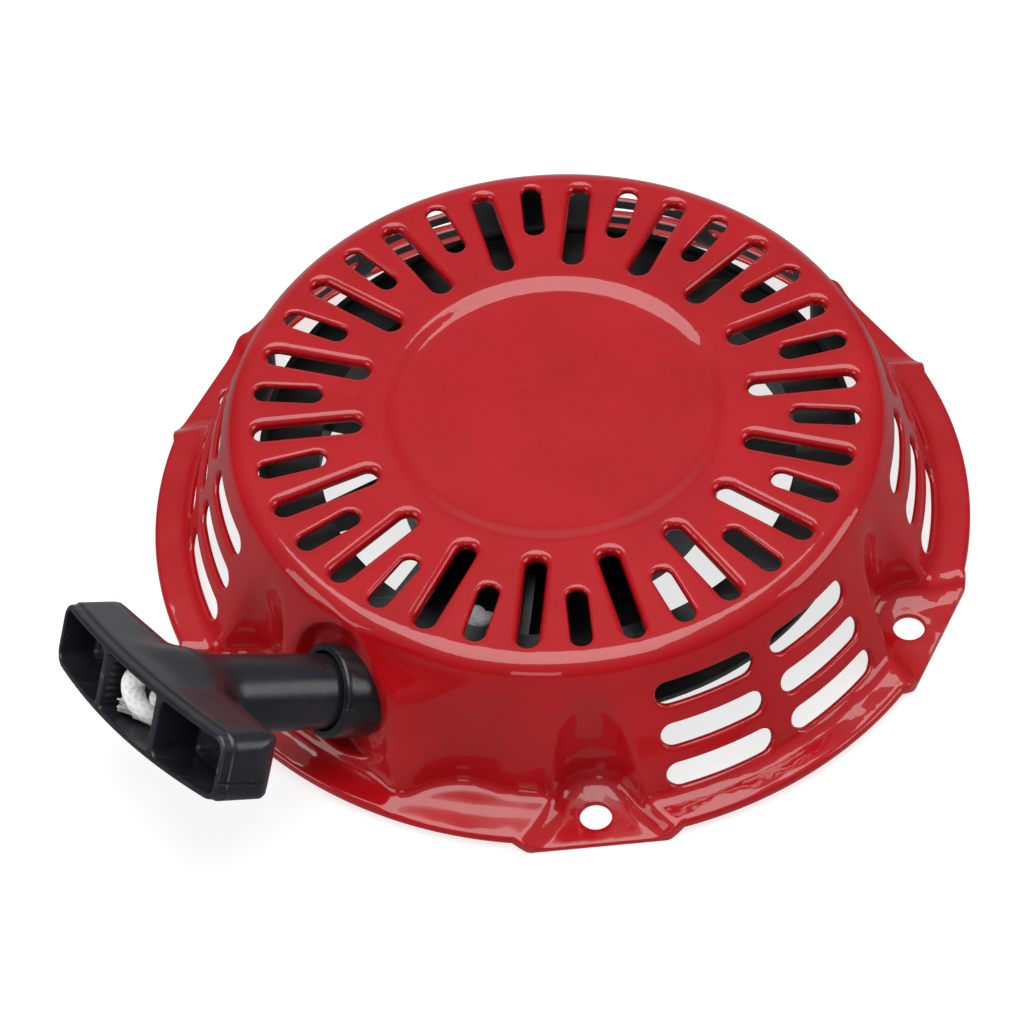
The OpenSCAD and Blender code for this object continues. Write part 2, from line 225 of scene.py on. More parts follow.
# ---------------------------------------------------------------- unrolled outline of the sheet
def profile_curve():
    """Points (r, z) along the turned profile from the axis to the rim, every 0.1 mm."""
    cos_t, sin_t = math.cos(TILT), math.sin(TILT)
    zc, zf = TOP - SHOULDER_R, FLANGE_TOP + FILLET_R
    rc, rf = wall_at(zc) - SHOULDER_R / cos_t, wall_at(zf) + FILLET_R / cos_t
    r = np.linspace(0, rc, 800)
    z = TOP - DISH_DEPTH * smooth_step((DISH_EDGE_R - r) / (DISH_EDGE_R - DISH_R))
    a = np.linspace(math.pi / 2, TILT, 80)
    shoulder = np.stack([rc + SHOULDER_R * np.cos(a), zc + SHOULDER_R * np.sin(a)], 1)
    a = np.linspace(math.pi + TILT, 1.5 * math.pi, 50)
    foot = np.stack([rf + FILLET_R * np.cos(a), zf + FILLET_R * np.sin(a)], 1)
    rim = np.stack([np.linspace(foot[-1, 0], FLANGE_R + 2, 80)[1:], np.full(79, FLANGE_TOP)], 1)
    wall = shoulder[-1] + np.linspace(0, 1, 300)[1:-1, None] * (foot[0] - shoulder[-1])
    return np.concatenate([np.stack([r, z], 1), shoulder[1:], wall, foot, rim])


CURVE = profile_curve()
LENGTH = np.concatenate([[0], np.cumsum(np.hypot(np.diff(CURVE[:, 0]), np.diff(CURVE[:, 1])))])
LENGTH += CURVE[800, 0] - LENGTH[800]
SLOPE = np.gradient(CURVE, axis=0)
SLOPE /= np.hypot(SLOPE[:, 0], SLOPE[:, 1])[:, None]
END = np.interp(FLANGE_R - 1.5, CURVE[:, 0], LENGTH)


def on_profile(s):
    """(r, z) and outward normal (nr, nz) at distance s along the profile."""
    get = lambda v: np.interp(s, LENGTH, v)
    nr, nz = get(-SLOPE[:, 1]), get(SLOPE[:, 0])
    size = np.hypot(nr, nz)
    return get(CURVE[:, 0]), get(CURVE[:, 1]), nr / size, nz / size


def lay_on_profile(flat):
    """Takes flat points (distance along the profile as the radius) to the turned surface."""
    s, a = np.hypot(flat[:, 0], flat[:, 1]), np.arctan2(flat[:, 1], flat[:, 0])
    r, z, nr, nz = on_profile(s)
    return around(r, a, z), around(nr, a, nz)


def press(p, normals, level):
    """Moves points of the turned surface onto the pressed form, at depth -level: in along the
    normal where it was pressed in, out from a pivot under the wall where it was pressed out."""
    r = np.hypot(p[:, 0], p[:, 1])[:, None]
    pivot = np.stack([p[:, 0], p[:, 1], np.zeros(len(p))], 1) / np.maximum(r, 1e-6) * np.minimum(80.0, r)
    pivot[:, 2] = -15.0
    out = p - pivot
    out /= np.linalg.norm(out, axis=1)[:, None]
    for _ in range(50):
        d = pressed(p) - level
        p = p + np.where((d > 0)[:, None], -normals * d[:, None], -out * d[:, None]) * 0.9
    return p


def settle(p, faces, fixed, level, rounds, field=pressed):
    """Evens the mesh out along the surface, keeping it on the field."""
    width = faces.shape[1]
    pairs = np.concatenate([faces[:, [k, (k + 1) % width]] for k in range(width)])
    edges = np.unique(np.sort(pairs, axis=1), axis=0)
    i, j = np.concatenate([edges[:, 0], edges[:, 1]]), np.concatenate([edges[:, 1], edges[:, 0]])
    count = np.maximum(np.bincount(i, minlength=len(p)), 1)[:, None]
    free = ~fixed
    for _ in range(rounds):
        mean = np.stack([np.bincount(i, p[j, k], len(p)) for k in range(3)], 1) / count
        n = field_normals(p[free], field)
        step = (mean - p)[free]
        step -= (step * n).sum(1)[:, None] * n
        q = p[free] + 0.6 * step
        q -= (field(q) - level)[:, None] * n
        p[free] = q
    return p


# ---------------------------------------------------------------- openings
def capsule(half, radius, n_end=10, n_side=6):
    """Closed outline of a capsule along x, anticlockwise, from the end of one straight side."""
    pts = []
    for side in (1, -1):
        a = np.linspace(-math.pi / 2, math.pi / 2, n_end + 1) + (0 if side > 0 else math.pi)
        pts += [(side * half + radius * math.cos(t), radius * math.sin(t)) for t in a]
        if half > 0:
            pts += [(side * half * (1 - 2 * k / n_side), side * radius) for k in range(1, n_side)]
    return np.array(pts)


NEARBY = 24
SHORT_ROLL, LONG_ROLL, SIDE_ROLL, LONG_LIP = 1.0, 2.0, 0.9, 3.0


class Opening:
    """A slot: half length and radius of its outline, and how its local plane lies on the flat
    sheet. roll is the radius of its rounded edge, lip the depth it is turned down to."""

    def __init__(self, angle, s, half, radius, radial, roll, lip, n_end=10, n_side=6):
        self.angle, self.s, self.half, self.radius = angle, s, half, radius
        self.radial, self.roll, self.lip = radial, roll, lip
        self.n_end, self.n_side = n_end, n_side

    def outline(self, grow):
        """Outline grown by that much, as flat points."""
        c = capsule(self.half, self.radius + grow, self.n_end, self.n_side)
        if self.radial:
            return turned(c + [self.s, 0], self.angle)
        s = self.s + c[:, 1]
        return polar(s, self.angle - c[:, 0] / on_profile(s)[0])

    def near(self, flat):
        """Which flat points are close enough to matter."""
        centre = self.s * math.cos(self.angle), self.s * math.sin(self.angle)
        return np.hypot(flat[:, 0] - centre[0], flat[:, 1] - centre[1]) < NEARBY

    def distance(self, flat):
        """How far flat points are outside the outline."""
        a = np.arctan2(flat[:, 1], flat[:, 0]) - self.angle
        a = (a + math.pi) % (2 * math.pi) - math.pi
        s = np.hypot(flat[:, 0], flat[:, 1])
        if self.radial:
            u, v = s * np.cos(a) - self.s, s * np.sin(a)
        else:
            u, v = a * on_profile(s)[0], s - self.s
        return np.hypot(np.maximum(np.abs(u) - self.half, 0), v) - self.radius


def side_distance(z):
    """Distance along the profile of the wall at height z."""
    wall = (CURVE[:, 0] > 88) & (CURVE[:, 1] > FLANGE_TOP + 1)
    return float(np.interp(-z, -CURVE[wall, 1], LENGTH[wall]))


def openings():
    """Every slot: short and long by turns round the top, then the groups in the side wall."""
    found = []
    for i in range(18):
        a = math.radians(-90 + 20 * i)
        place, length = SHORT_SLOT
        found.append(Opening(a, place, (length - SLOT_W) / 2, SLOT_W / 2, True, SHORT_ROLL, 0))
        a += math.radians(10)
        place, length = LONG_SLOT
        half = (length - SLOT_W) / 2
        found.append(Opening(a, place, half, SLOT_W / 2, True, LONG_ROLL, LONG_LIP, n_side=9))
    for group in SIDE_GROUPS:
        for z in SIDE_ROWS:
            for side in (-1, 1):
                half = wall_at(z) * math.sin(SIDE_HALF) - SIDE_W / 2
                a = math.radians(group) + side * SIDE_OFFSET
                found.append(Opening(a, side_distance(z), half, SIDE_W / 2, False, SIDE_ROLL, 0, n_side=9))
    return found


OPENINGS = openings()


def tab_distance():
    """Function from a radius on a tab's floor to the distance on the flat sheet that ends up there."""
    s = np.linspace(side_distance(38), END, 400)
    p, n = lay_on_profile(polar(s, TABS[0]))
    p = press(p, n, 0.0)
    r = np.hypot(p[:, 0], p[:, 1])
    floor = p[:, 2] < TAB_TOP + 0.6
    return lambda radius: np.interp(radius, r[floor], s[floor])


# ---------------------------------------------------------------- meshing
def mesh_sheet(level, spacing, ring_offsets, rim_count, holes_flat, hole_places, rounds):
    """Triangulates the unrolled sheet round its openings and presses it to the form.
    Returns points, triangles, the loops round each slot and each bolt hole, and the rim's loop."""
    coords, edges, loops = [], [], []

    def add_loop(flat):
        first = len(coords)
        coords.extend(map(tuple, flat))
        loop = list(range(first, first + len(flat)))
        edges.extend(zip(loop, loop[1:] + loop[:1]))
        return loop

    rim_angles = np.arange(rim_count) * 2 * math.pi / rim_count
    rim = add_loop(polar(END, rim_angles))
    for o, grow in zip(OPENINGS, ring_offsets):
        loops.append(add_loop(o.outline(grow)))
    hole_loops = [add_loop(f) for f in holes_flat]
    grid = []
    s, row = 2.0, 0
    while s < END - 0.6 * spacing(END):
        h = spacing(s)
        n = max(6, round(2 * math.pi * s / h))
        t = (np.arange(n) + 0.5 * (row % 2)) * 2 * math.pi / n
        grid.append(around(s, t, np.full(n, h)))
        s += 0.87 * h
        row += 1
    grid = np.concatenate(grid)
    keep = np.ones(len(grid), bool)
    for o, grow in zip(OPENINGS, ring_offsets):
        near = o.near(grid)
        keep[near] &= o.distance(grid[near, :2]) > grow + 0.5 * np.minimum(grid[near, 2], 1.2)
    for f in holes_flat:
        c = f.mean(0)
        radius = np.hypot(*(f - c).T).max()
        keep &= np.hypot(grid[:, 0] - c[0], grid[:, 1] - c[1]) > radius + 0.4
    coords.extend(map(tuple, grid[keep, :2]))
    out = delaunay_2d_cdt([Vector(c) for c in coords], edges, [], 0, 1e-5)
    flat = np.array([tuple(v) for v in out[0]])
    tris = np.array([f for f in out[2] if len(f) == 3])
    assert len(flat) == len(coords), (len(flat), len(coords))
    mid = flat[tris].mean(1)
    drop = np.zeros(len(tris), bool)
    for o, grow in zip(OPENINGS, ring_offsets):
        near = o.near(mid)
        drop[near] |= o.distance(mid[near]) < grow - 1e-3
    for loop in hole_loops:
        drop |= np.isin(tris, loop).all(1)
    tris = tris[~drop]
    a0, b0, c0 = flat[tris[:, 0]], flat[tris[:, 1]], flat[tris[:, 2]]
    cross = (b0 - a0)[:, 0] * (c0 - a0)[:, 1] - (b0 - a0)[:, 1] * (c0 - a0)[:, 0]
    tris[cross < 0] = tris[cross < 0][:, ::-1]
    p, n = lay_on_profile(flat)
    q = press(p, n, level)
    moved = np.linalg.norm(q - p, axis=1) > abs(level) + 0.02
    fixed = np.zeros(len(q), bool)
    fixed[[v for loop in loops for v in loop]] = True
    fixed[rim] = True
    for loop, place in zip(hole_loops, hole_places):
        q[loop] = place
        fixed[loop] = True
    q[rim] = rim_places(rim_angles, level)
    zone = moved.copy()
    for _ in range(14):
        touched = zone[tris].any(1)
        zone[tris[touched].ravel()] = True
    fixed |= ~zone
    q = settle(q, tris, fixed, level, rounds)
    return q, tris, loops, hole_loops, rim


def tab_share(a):
    """0 on the plain flange, 1 on a tab's straight edge, with the slanted step between."""
    off = np.min([np.abs((a - t + math.pi) % (2 * math.pi) - math.pi) for t in TABS], axis=0)
    y = TAB_REACH * np.tan(np.minimum(off, 1.0))
    return np.clip((TAB_STEP - y) / (TAB_STEP - TAB_HALF), 0, 1), off


def rim_radius(a):
    """Radius of the outline: round, with a straight edge on each tab."""
    share, off = tab_share(a)
    chord = TAB_REACH / np.cos(np.minimum(off, 0.19))
    return FLANGE_R + share * (chord - FLANGE_R)


def rim_bend(a):
    """Radius of the bend down to the rim's edge."""
    return 1.5 - 1.0 * tab_share(a)[0]


def rim_places(a, level):
    """The last points before the rim's bend, on the pressed form."""
    p = around(rim_radius(a) - rim_bend(a), a, np.zeros(len(a)))
    low, high = np.full(len(a), -4.0), np.full(len(a), 12.0)
    for _ in range(40):
        p[:, 2] = (low + high) / 2
        inside = pressed(p) < level
        low, high = np.where(inside, p[:, 2], low), np.where(inside, high, p[:, 2])
    return p


# ---------------------------------------------------------------- building meshes
BRAID_PITCH = 3.4


class Builder:
    """Collects the points (in millimetres), faces and UVs of one piece."""

    def __init__(self):
        self.points, self.faces, self.count, self.uv = [], [], 0, {}

    def add(self, pts):
        """Keeps points and returns their numbers."""
        first = self.count
        self.points.append(np.asarray(pts, float))
        self.count += len(pts)
        return list(range(first, first + len(pts)))

    def strip(self, a, b):
        """Quads between two closed loops of equal length."""
        n = len(a)
        self.faces += [(a[k], a[(k + 1) % n], b[(k + 1) % n], b[k]) for k in range(n)]

    def fan(self, loop, centre):
        """Triangles from a closed loop to a point."""
        c = self.add([centre])[0]
        n = len(loop)
        self.faces += [(loop[k], loop[(k + 1) % n], c) for k in range(n)]

    def tube(self, path, radius, sides, relief=0.0):
        """Round tube along a path, capped, with the strands of its braid raised by a share of the
        radius. The braid is kept as UVs, in turns and in millimetres."""
        path = np.asarray(path, float)
        run = np.concatenate([[0], np.cumsum(np.linalg.norm(np.diff(path, axis=0), axis=1))])
        heading = np.gradient(path, axis=0)
        heading /= np.linalg.norm(heading, axis=1)[:, None]
        side = np.cross(heading[0], [0.3, 0.2, 1.0])
        rings, radius = [], np.broadcast_to(radius, len(path))
        t = np.arange(sides) * 2 * math.pi / sides
        for i, (p, h) in enumerate(zip(path, heading)):
            side = side - (side @ h) * h
            side /= np.linalg.norm(side)
            other = np.cross(h, side)
            lay = math.pi * run[i] / BRAID_PITCH
            strands = np.maximum(np.abs(np.sin(4 * t + lay)), np.abs(np.sin(4 * t - lay)))
            r = radius[i] * (1 - relief * (1 - strands))
            rings.append(self.add(p + polar(r, t) @ [side, other]))
        for i in range(len(path) - 1):
            for k in range(sides):
                j = (k + 1) % sides
                self.uv[len(self.faces)] = [(k / sides, run[i]), ((k + 1) / sides, run[i]),
                                            ((k + 1) / sides, run[i + 1]), (k / sides, run[i + 1])]
                self.faces.append((rings[i][k], rings[i][j], rings[i + 1][j], rings[i + 1][k]))
        self.faces.append(tuple(rings[0][::-1]))
        self.faces.append(tuple(rings[-1]))

    def object(self, name, material, smooth=0):
        """Blender object of the piece, smooth but for edges sharper than that many degrees."""
        pts = np.concatenate(self.points) * MM
        mesh = bpy.data.meshes.new(name)
        mesh.from_pydata(pts.tolist(), [], [tuple(int(v) for v in f) for f in self.faces])
        mesh.validate()
        mesh.update()
        obj = bpy.data.objects.new(name, mesh)
        bpy.context.scene.collection.objects.link(obj)
        mesh.materials.append(material)
        mesh.shade_smooth()
        if smooth:
            mesh.set_sharp_from_angle(angle=math.radians(smooth))
        if self.uv:
            layer = mesh.uv_layers.new(name="braid")
            for face in mesh.polygons:
                for loop, at in zip(face.loop_indices, self.uv.get(face.index, ())):
                    layer.data[loop].uv = at
        return obj


def lay_opening(b, ring, o, bottom):
    """Rounds a slot's edge down from the surface and turns its lip, down to the inner sheet's loop."""
    steps = 8 if o.lip else 5
    for k in range(1, steps + 1):
        a = math.pi / 2 * k / steps
        flat = o.outline(o.roll * (1 - math.sin(a)))
        q, m = lay_on_profile(flat)
        new = b.add(q - m * o.roll * (1 - math.cos(a)))
        b.strip(ring, new)
        ring = new
    depth = max(o.lip, SHEET - 0.35)
    turned_under = ((0.25, 0.25), (0.95, 0.25), (UNDER_LIP, 0.0)) if o.lip else ()
    for grow, down in ((0.0, 0.0), *turned_under):
        q, m = lay_on_profile(o.outline(grow))
        new = b.add(q - m * (depth + down))
        b.strip(ring, new)
        ring = new
    b.strip(ring, bottom)


def hole_loops(grow, height, count=28):
    """Flat and real places of loops round the bolt holes."""
    t = np.arange(count) * 2 * math.pi / count
    x, y = BOLT_R + (HOLE_R + grow) * np.cos(t), (HOLE_R + grow) * np.sin(t)
    r, a = np.hypot(x, y), np.arctan2(y, x)
    flat = [polar(FLOOR_DISTANCE(r), a + tab) for tab in TABS]
    return flat, [around(r, a + tab, np.full(count, height)) for tab in TABS]


def housing(material):
    """The pressed housing: outer face, inner face one sheet below, rounded slots and holes, turned
    rim. An attribute marks the inner face above the flange, which the paint turns near black as painted shade."""
    b = Builder()
    rim_count = 720
    fine = lambda s: 2.6 if s < 40 else 1.25 if s < 82 else 1.0
    coarse = lambda s: 4.0 if s < 82 else 2.6
    flat, place = hole_loops(HOLE_EDGE, TAB_TOP)
    rolls = [o.roll for o in OPENINGS]
    p, tris, loops, holes, rim = mesh_sheet(0.0, fine, rolls, rim_count, flat, place, 60)
    b.add(p)
    b.faces += [tuple(t) for t in tris]
    flat, under_place = hole_loops(0.0, 0.0)
    lips = [UNDER_LIP if o.lip else 0.0 for o in OPENINGS]
    q, under, under_loops, under_holes, under_rim = mesh_sheet(
        -SHEET, coarse, lips, rim_count, flat, under_place, 40)
    base = b.add(q)[0]
    b.faces += [tuple(t[::-1] + base) for t in under]
    for o, loop, low in zip(OPENINGS, loops, under_loops):
        lay_opening(b, loop, o, [v + base for v in low])
    for ring, low, outline in zip(holes, under_holes, place):
        centre = outline.mean(0)
        for k in (1, 2, 3):
            t = math.pi / 2 * k / 3
            share = (HOLE_R + HOLE_EDGE * (1 - math.sin(t))) / (HOLE_R + HOLE_EDGE)
            edge = centre + (outline - centre) * share
            edge[:, 2] = TAB_TOP - HOLE_EDGE * (1 - math.cos(t))
            new = b.add(edge)
            b.strip(ring, new)
            ring = new
        b.strip(ring, [v + base for v in low])
    # Rim: bend down, hang to the edge, round under and climb back to the inner face
    a = np.arange(rim_count) * 2 * math.pi / rim_count
    bend, radius = rim_bend(a), rim_radius(a)
    low = RIM_DROP * (1 - tab_share(a)[0])
    top = p[rim][:, 2]
    rings = []
    for k in range(1, 7):
        t = math.pi / 2 * k / 6
        rings.append((radius - bend * (1 - math.sin(t)), top - bend * (1 - math.cos(t))))
    for back, down in ((0.0, 0.35), (0.1, 0.1), (0.35, 0.0), (SHEET - 0.3, 0.0), (SHEET, 0.3)):
        rings.append((radius - back, low + down))
    ring = rim
    for r, z in rings:
        new = b.add(around(r, a, z))
        b.strip(new, ring)
        ring = new
    b.strip([v + base for v in under_rim], ring)
    obj = b.object("housing_shell", material, smooth=50)
    # Painted shade: this marks the inner face above the flange, which the paint turns near black.
    inside = np.zeros(b.count)
    inside[base:base + len(q)] = smooth_step((q[:, 2] - 7.0) / 4.0)
    obj.data.attributes.new("inside", "FLOAT", "POINT").data.foreach_set("value", inside)
    return obj


FLOOR_DISTANCE = tab_distance()


# ---------------------------------------------------------------- frames along the rope
def turn(v, axis, angle):
    """A vector turned about an axis."""
    return np.array(Matrix.Rotation(angle, 3, Vector(axis)) @ Vector(v))


EX = turn(turn((1, 0, 0), (0, 1, 0), math.pi / 2 - RISE), (0, 0, 1), HEADING)
EY = np.cross(PULL, EX)
GRIP_TWIST = math.radians(112)
BAR = EX * math.cos(GRIP_TWIST) + EY * math.sin(GRIP_TWIST)
ACROSS = np.cross(PULL, BAR)


def on_grip(q):
    """Local grip points (along the bar, across it, out along the rope) in the row frame."""
    return OUTLET + q[:, :1] * BAR + q[:, 1:2] * ACROSS + q[:, 2:3] * PULL


def revolve(b, profile, count=96):
    """Ring round the rope's axis whose section is a closed outline of (radius, distance) points."""
    t = np.arange(count) * 2 * math.pi / count
    rings = [b.add(on_grip(around(r, t, np.full(count, s)))) for r, s in profile]
    for one, following in zip(rings, rings[1:] + rings[:1]):
        b.strip(one, following)


def arc(cx, cy, r, a0, a1, n):
    """Points of an arc between two angles in degrees."""
    t = np.radians(np.linspace(a0, a1, n + 1))
    return [(cx + r * math.cos(a), cy + r * math.sin(a)) for a in t]


# ---------------------------------------------------------------- rope guide and grip
def rope_guide(material):
    """Bushing with a collar whose outer lip is rounded and stands round the grip's stem."""
    b = Builder()
    profile = [(4.2, -1.0), (5.4, -3.0), (7.0, -5.9), (8.9, -5.9), (8.9, -2.6), (12.2, -2.6), (12.6, -2.3)]
    profile += [(12.65, 0), (12.65, 7.6)] + arc(11.35, 8.4, 1.3, 12, 90, 7)
    profile += [(11.2, 9.55), (11.15, 9.2)] + arc(10.9, 9.3, 0.35, 20, 180, 5)
    profile += [(10.5, 8.4), (10.3, 7.5), (9.9, 7.3), (5.5, 7.3), (4.6, 6.0), (4.2, 4.0)]
    revolve(b, profile)
    return b.object("guide_bushing", material, smooth=50)


BAR_HALF, BAR_THICK, BAR_LOW, BAR_HIGH = 45.0, 10.2, 46.5, 68.0
BAR_SHIFT = -1.0
STEM_R, STEM_LOW, STEM_FLARE = 9.9, 7.8, 0.018
END_ROUND, EDGE_ROUND, CORNER_R = 8.5, 6.0, 5.0
BOW, FACE_BOW = 1.7, 3.4
POCKET_WALL, TOOTH = 2.0, 0.45
KNOT_FLOOR = BAR_HIGH - 14.0
POCKETS = ((-43.0, -15.3, 2.6), (-13.7, 13.7, 1.2), (15.3, 43.0, 2.6))
MARGIN = 0.12
RIM_BELOW = 3.1
SPREAD_FROM, SPREAD = 36.0, 10.5


def face_drop(x):
    """How far the outer face has fallen back at that distance along the bar."""
    return FACE_BOW * (x / BAR_HALF) ** 2


def rounded_pair(a, c, r):
    """Signed distance to a convex corner of radius r; a and c are distances past its sides."""
    return np.where((a > -r) & (c > -r), np.hypot(a + r, c + r) - r, np.maximum(a, c))


def grip_field(q):
    """Signed distance to the grip's outside, without its outer face."""
    x, y, s = np.abs(q[:, 0]), q[:, 1] - BAR_SHIFT, q[:, 2]
    half = np.where(y < 0, BAR_THICK - BOW * (x / BAR_HALF) ** 2, BAR_THICK) - MARGIN
    side, end, low = np.abs(y) - half, x - BAR_HALF + MARGIN, BAR_LOW + MARGIN - s
    bar = np.maximum.reduce([rounded_pair(end, low, END_ROUND), rounded_pair(side, low, EDGE_ROUND),
                             rounded_pair(end, side, CORNER_R)])
    stem = smax(np.hypot(q[:, 0], q[:, 1]) - STEM_R - STEM_FLARE * (s - STEM_LOW), s - 53.0, 5.0)
    return smin(bar, stem, 9.0)


def rounded_loop(half_x, half_y, corner, n):
    """n points of a rounded rectangle, evenly spaced from its +x end, anticlockwise."""
    lx, ly = half_x - corner, half_y - corner
    pts = []
    for qx, qy, a0 in ((1, 1, 0), (-1, 1, 90), (-1, -1, 180), (1, -1, 270)):
        pts += arc(qx * lx, qy * ly, corner, a0, a0 + 90, 15)
    pts = np.array([(half_x, 0)] + pts + [(half_x, 0)])
    run = np.concatenate([[0], np.cumsum(np.hypot(*np.diff(pts, axis=0).T))])
    t = np.arange(n) * run[-1] / n
    return np.stack([np.interp(t, run, pts[:, 0]), np.interp(t, run, pts[:, 1])], 1)


def grip(material):
    """T grip: stem, bar with a bowed outer face and a stepped rim, three compartments, bore for the rope."""
    b = Builder()
    n = 240
    rounds = [(STEM_R - 1.2, STEM_LOW), (STEM_R - 0.4, STEM_LOW + 0.15), (STEM_R, STEM_LOW + 0.8)]
    rounds += [(STEM_R, s) for s in np.linspace(11, SPREAD_FROM, 14)]
    loops = [(r, r, r, s) for r, s in rounds]
    for k in range(1, 11):
        t = math.pi / 2 * k / 10
        loops.append((STEM_R + 11 * (1 - math.cos(t)), STEM_R - 0.05 * k, STEM_R - 0.2 * k,
                      SPREAD_FROM + SPREAD * math.sin(t)))
    loops += [(x, BAR_THICK, 6.5, BAR_LOW) for x in (23.5, 26, 28.5, 31, 33.5, 35.5)]
    for k in range(1, 8):
        t = math.pi / 2 * k / 8
        loops.append((BAR_HALF - END_ROUND * (1 - math.sin(t)), BAR_THICK, CORNER_R,
                      BAR_LOW + END_ROUND * (1 - math.cos(t))))
    straight, rim_at = BAR_LOW + END_ROUND, BAR_HIGH - RIM_BELOW
    loops += [(BAR_HALF, BAR_THICK, CORNER_R, s) for s in np.linspace(straight, rim_at, 9)]
    local = []
    for hx, hy, c, s in loops:
        flat = rounded_loop(hx, hy, c, n)
        rise = np.full(n, s)
        if s > straight:
            rise -= face_drop(flat[:, 0]) * (s - straight) / (rim_at - straight)
        flat[:, 1] += BAR_SHIFT * smooth_step((s - 34.0) / 12.0)
        local.append(np.column_stack([flat, rise]))
    q = np.concatenate(local)
    free = q[:, 2] > STEM_LOW + 0.5
    for _ in range(12):
        f = q[free]
        q[free] = f - grip_field(f)[:, None] * field_normals(f, grip_field)
    rows = len(loops)
    faces = np.array([(r * n + k, r * n + (k + 1) % n, (r + 1) * n + (k + 1) % n, (r + 1) * n + k)
                      for r in range(rows - 1) for k in range(n)])
    fixed = np.zeros(len(q), bool)
    fixed[:4 * n] = True
    fixed[-3 * n:] = True
    q = settle(q, faces, fixed, 0.0, 25, grip_field)
    first = b.add(q)[0]
    b.faces += [tuple(int(v) + first for v in f) for f in faces]
    edge = q[-n:].copy()
    ring = list(range(first + (rows - 1) * n, first + rows * n))
    out = field_normals(edge, grip_field)
    out[:, 2] = 0
    out /= np.linalg.norm(out, axis=1)[:, None]
    # The rim above the line round the bar: a small step in, then rounded into the outer face
    steps = ((0.1, 2.72), (0.45, 2.5), (0.55, 2.15), (0.55, 0.85), (0.7, 0.35), (1.0, 0.08), (1.35, 0.0))
    for by, down in steps:
        rim = edge - by * out
        rim[:, 2] = BAR_HIGH - MARGIN - face_drop(rim[:, 0]) - down
        new = b.add(rim)
        b.strip(ring, new)
        ring = new
    grip_face(b, ring, rim[:, :2])
    # The stem's end, with the bore that the rope goes into
    ring = list(range(first, first + n))
    for r, s in ((3.4, STEM_LOW), (2.9, STEM_LOW + 0.3), (2.8, STEM_LOW + 4.0), (2.8, 30.0)):
        new = b.add(on_plane(rounded_loop(r, r, r, n), np.full(n, s)))
        b.strip(new, ring)
        ring = new
    b.faces.append(tuple(ring[::-1]))
    b.points = [on_grip(p) for p in b.points]
    return b.object("grip_body", material, smooth=42)


def grip_face(b, rim_loop, rim_flat):
    """Outer face with the mouths of the three compartments, then their walls and floors."""
    n = len(rim_flat)
    coords, edges = [tuple(v) for v in rim_flat], [(k, (k + 1) % n) for k in range(n)]
    placed = list(rim_loop)
    mouths = []
    for x0, x1, corner in POCKETS:
        m = 160
        flat = rounded_loop((x1 - x0) / 2, BAR_THICK - POCKET_WALL, corner, m) + [(x0 + x1) / 2, 0]
        low = flat[:, 1] < 0
        flat[low, 1] *= 1 - BOW * (flat[low, 0] / BAR_HALF) ** 2 / (BAR_THICK - POCKET_WALL)
        flat[:, 1] += BAR_SHIFT
        start = len(coords)
        coords += [tuple(v) for v in flat]
        edges += [(start + k, start + (k + 1) % m) for k in range(m)]
        height = BAR_HIGH - MARGIN - face_drop(flat[:, 0])
        ring = b.add(on_plane(flat, height))
        placed += ring
        mouths.append((set(range(start, start + m)), flat, height, ring))
    result = delaunay_2d_cdt([Vector(c) for c in coords], edges, [], 0, 1e-6)
    points = np.array([tuple(v) for v in result[0]])
    assert len(points) == len(coords)
    for f in result[2]:
        on_mouth = any(set(f) <= mouth[0] for mouth in mouths)
        on_rim = all(v < n for v in f)
        if on_mouth or (on_rim and not inside_loop(points[list(f)].mean(0), rim_flat)):
            continue
        b.faces.append(tuple(placed[v] for v in f))
    for (_, flat, height, ring), (x0, x1, corner) in zip(mouths, POCKETS):
        centre = np.array([(x0 + x1) / 2, BAR_SHIFT])
        away = flat - centre
        size = np.abs(away).max(0)
        middle = abs(centre[0]) < 1
        on_divider = (np.abs(away[:, 0]) > size[0] - 0.8) & (np.abs(away[:, 1]) < size[1] - 1.5)
        every_other = np.arange(len(flat)) // 2 % 2 == 0
        tooth = np.where(middle & on_divider & every_other, TOOTH, 0.0)
        floor = KNOT_FLOOR
        walls = ((0.25, 0.08, 0), (0.4, 0.4, 0), (0.42, 1.3, 0), (0.45, 1.7, 1), (0.55, 5.5, 1), (0.6, 6.2, 0))
        walls = [(grow, height - down, teeth) for grow, down, teeth in walls]
        walls += [(0.9, np.full(len(flat), floor + 1.0), 0), (1.9, np.full(len(flat), floor + 0.1), 0)]
        for grow, s, teeth in walls:
            inner = centre + away * (1 - grow / size)
            inner[:, 0] -= np.sign(away[:, 0]) * tooth * teeth
            new = b.add(on_plane(inner, s))
            b.strip(ring, new)
            ring = new
        b.fan(ring, [*centre, floor])


def inside_loop(p, loop):
    """Whether a flat point lies inside a closed loop."""
    x0, y0 = loop[:, 0], loop[:, 1]
    x1, y1 = np.roll(x0, -1), np.roll(y0, -1)
    crosses = (y0 > p[1]) != (y1 > p[1])
    at = x0 + (p[1] - y0) * (x1 - x0) / np.where(crosses, y1 - y0, 1.0)
    return bool((crosses & (at > p[0])).sum() % 2)


def on_plane(flat, s):
    """Flat points of the grip lifted to distances out along the rope."""
    return np.column_stack([flat, s])


# ---------------------------------------------------------------- rope
ROPE_R = 2.25
REEL_GROOVE_R, ROPE_LEVEL = 69.0, 22.2
ANCHOR = math.radians(-4.5 - 3.4 * 360 / 11)
ROUTE = [(19.6, -73.2, 22.3), (5.0, -77.2, 22.3), (-11, -79.2, 22.3), (-25, -78, 22.3), (-39, -76, 22.3),
         (-50, -74.2, 22.3), (-56.5, -73, 22.6), (-60.8, -73.2, 24.1), (-66.1, -74.8, 27.1)]


